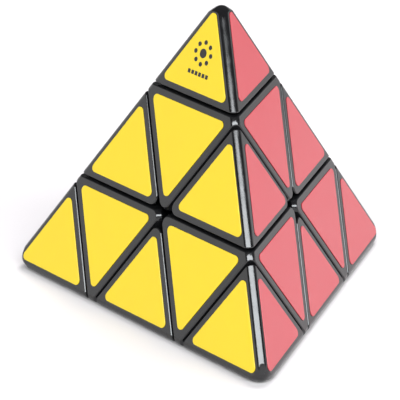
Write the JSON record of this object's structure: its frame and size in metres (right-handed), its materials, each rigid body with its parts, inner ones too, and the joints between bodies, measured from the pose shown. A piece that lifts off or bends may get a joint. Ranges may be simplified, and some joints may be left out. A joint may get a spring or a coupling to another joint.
{
  "type": "pyramid twisty puzzle",
  "caption": "Pyramid-shaped twisty puzzle with turning corner layers, loose corner tips and coloured face stickers on black plastic.",
  "frame": {"origin": "centre of the core, where the four turning axes meet, which is also the centroid of the pyramid", "axes": "+Z is the turning axis of the top corner and points up out of it; the front corner points to -Y, the right corner to +X and +Y, the left corner to -X and +Y; the green face is the base, facing -Z"},
  "size_m": [0.095, 0.0833, 0.0786],
  "materials": {
    "black_plastic": "moulded black plastic with a soft gloss",
    "core_plastic": "dark grey bearing plastic",
    "screw_steel": "zinc plated steel",
    "spring_steel": "spring steel wire",
    "yellow_vinyl": "smooth vinyl sticker",
    "red_vinyl": "smooth vinyl sticker",
    "blue_vinyl": "smooth vinyl sticker",
    "green_vinyl": "smooth vinyl sticker"
  },
  "bodies": {
    "core": {"core_spider": "core_plastic", "axle_screw_top": "screw_steel", "axle_spring_top": "spring_steel", "axle_screw_front": "screw_steel", "axle_spring_front": "spring_steel", "axle_screw_right": "screw_steel", "axle_spring_right": "spring_steel", "axle_screw_left": "screw_steel", "axle_spring_left": "spring_steel"},
    "axial_top": {"axial_top": "black_plastic", "sticker_yellow_axial_top": "yellow_vinyl", "sticker_red_axial_top": "red_vinyl", "sticker_blue_axial_top": "blue_vinyl"},
    "tip_top": {"tip_top": "black_plastic", "sticker_yellow_tip_top": "yellow_vinyl", "sticker_red_tip_top": "red_vinyl", "sticker_blue_tip_top": "blue_vinyl"},
    "axial_front": {"axial_front": "black_plastic", "sticker_yellow_axial_front": "yellow_vinyl", "sticker_red_axial_front": "red_vinyl", "sticker_green_axial_front": "green_vinyl"},
    "tip_front": {"tip_front": "black_plastic", "sticker_yellow_tip_front": "yellow_vinyl", "sticker_red_tip_front": "red_vinyl", "sticker_green_tip_front": "green_vinyl"},
    "axial_right": {"axial_right": "black_plastic", "sticker_red_axial_right": "red_vinyl", "sticker_blue_axial_right": "blue_vinyl", "sticker_green_axial_right": "green_vinyl"},
    "tip_right": {"tip_right": "black_plastic", "sticker_red_tip_right": "red_vinyl", "sticker_blue_tip_right": "blue_vinyl", "sticker_green_tip_right": "green_vinyl"},
    "axial_left": {"axial_left": "black_plastic", "sticker_yellow_axial_left": "yellow_vinyl", "sticker_blue_axial_left": "blue_vinyl", "sticker_green_axial_left": "green_vinyl"},
    "tip_left": {"tip_left": "black_plastic", "sticker_yellow_tip_left": "yellow_vinyl", "sticker_blue_tip_left": "blue_vinyl", "sticker_green_tip_left": "green_vinyl"},
    "edge_top_front": {"edge_top_front": "black_plastic", "sticker_yellow_edge_top_front": "yellow_vinyl", "sticker_red_edge_top_front": "red_vinyl"},
    "edge_top_right": {"edge_top_right": "black_plastic", "sticker_red_edge_top_right": "red_vinyl", "sticker_blue_edge_top_right": "blue_vinyl"},
    "edge_top_left": {"edge_top_left": "black_plastic", "sticker_yellow_edge_top_left": "yellow_vinyl", "sticker_blue_edge_top_left": "blue_vinyl"},
    "edge_front_right": {"edge_front_right": "black_plastic", "sticker_red_edge_front_right": "red_vinyl", "sticker_green_edge_front_right": "green_vinyl"},
    "edge_right_left": {"edge_right_left": "black_plastic", "sticker_blue_edge_right_left": "blue_vinyl", "sticker_green_edge_right_left": "green_vinyl"},
    "edge_front_left": {"edge_front_left": "black_plastic", "sticker_yellow_edge_front_left": "yellow_vinyl", "sticker_green_edge_front_left": "green_vinyl"}
  },
  "joints": [
    {"name": "layer_top_turn", "type": "hinge", "parent": "core", "child": "axial_top", "pos_m": [0, 0, 0], "axis": [0, 0, 1], "range_deg": [-240, 120]},
    {"name": "layer_front_turn", "type": "hinge", "parent": "core", "child": "axial_front", "pos_m": [0, 0, 0], "axis": [0, -0.9428, -0.3333], "range_deg": [-240, 120]},
    {"name": "layer_right_turn", "type": "hinge", "parent": "core", "child": "axial_right", "pos_m": [0, 0, 0], "axis": [0.8165, 0.4714, -0.3333], "range_deg": [-240, 120]},
    {"name": "layer_left_turn", "type": "hinge", "parent": "core", "child": "axial_left", "pos_m": [0, 0, 0], "axis": [-0.8165, 0.4714, -0.3333], "range_deg": [-240, 120]},
    {"name": "tip_top_turn", "type": "hinge", "parent": "axial_top", "child": "tip_top", "pos_m": [0, 0, 0], "axis": [0, 0, 1], "continuous": true},
    {"name": "tip_front_turn", "type": "hinge", "parent": "axial_front", "child": "tip_front", "pos_m": [0, 0, 0], "axis": [0, -0.9428, -0.3333], "continuous": true},
    {"name": "tip_right_turn", "type": "hinge", "parent": "axial_right", "child": "tip_right", "pos_m": [0, 0, 0], "axis": [0.8165, 0.4714, -0.3333], "continuous": true},
    {"name": "tip_left_turn", "type": "hinge", "parent": "axial_left", "child": "tip_left", "pos_m": [0, 0, 0], "axis": [-0.8165, 0.4714, -0.3333], "continuous": true},
    {"name": "edge_top_front_turn", "type": "hinge", "parent": "axial_top", "child": "edge_top_front", "pos_m": [0, 0, 0], "axis": [0, -0.9428, -0.3333], "range_deg": [-240, 120]},
    {"name": "edge_top_right_turn", "type": "hinge", "parent": "axial_top", "child": "edge_top_right", "pos_m": [0, 0, 0], "axis": [0.8165, 0.4714, -0.3333], "range_deg": [-240, 120]},
    {"name": "edge_top_left_turn", "type": "hinge", "parent": "axial_top", "child": "edge_top_left", "pos_m": [0, 0, 0], "axis": [-0.8165, 0.4714, -0.3333], "range_deg": [-240, 120]},
    {"name": "edge_front_right_turn", "type": "hinge", "parent": "axial_front", "child": "edge_front_right", "pos_m": [0, 0, 0], "axis": [0.8165, 0.4714, -0.3333], "range_deg": [-240, 120]},
    {"name": "edge_right_left_turn", "type": "hinge", "parent": "axial_right", "child": "edge_right_left", "pos_m": [0, 0, 0], "axis": [-0.8165, 0.4714, -0.3333], "range_deg": [-240, 120]},
    {"name": "edge_front_left_turn", "type": "hinge", "parent": "axial_left", "child": "edge_front_left", "pos_m": [0, 0, 0], "axis": [0, -0.9428, -0.3333], "range_deg": [-240, 120]}
  ],
  "couplings": [
    {"joint": "edge_top_front_turn", "follows": "layer_front_turn", "ratio": 1},
    {"joint": "edge_top_right_turn", "follows": "layer_right_turn", "ratio": 1},
    {"joint": "edge_top_left_turn", "follows": "layer_left_turn", "ratio": 1},
    {"joint": "edge_front_right_turn", "follows": "layer_right_turn", "ratio": 1},
    {"joint": "edge_right_left_turn", "follows": "layer_left_turn", "ratio": 1},
    {"joint": "edge_front_left_turn", "follows": "layer_front_turn", "ratio": 1}
  ]
}
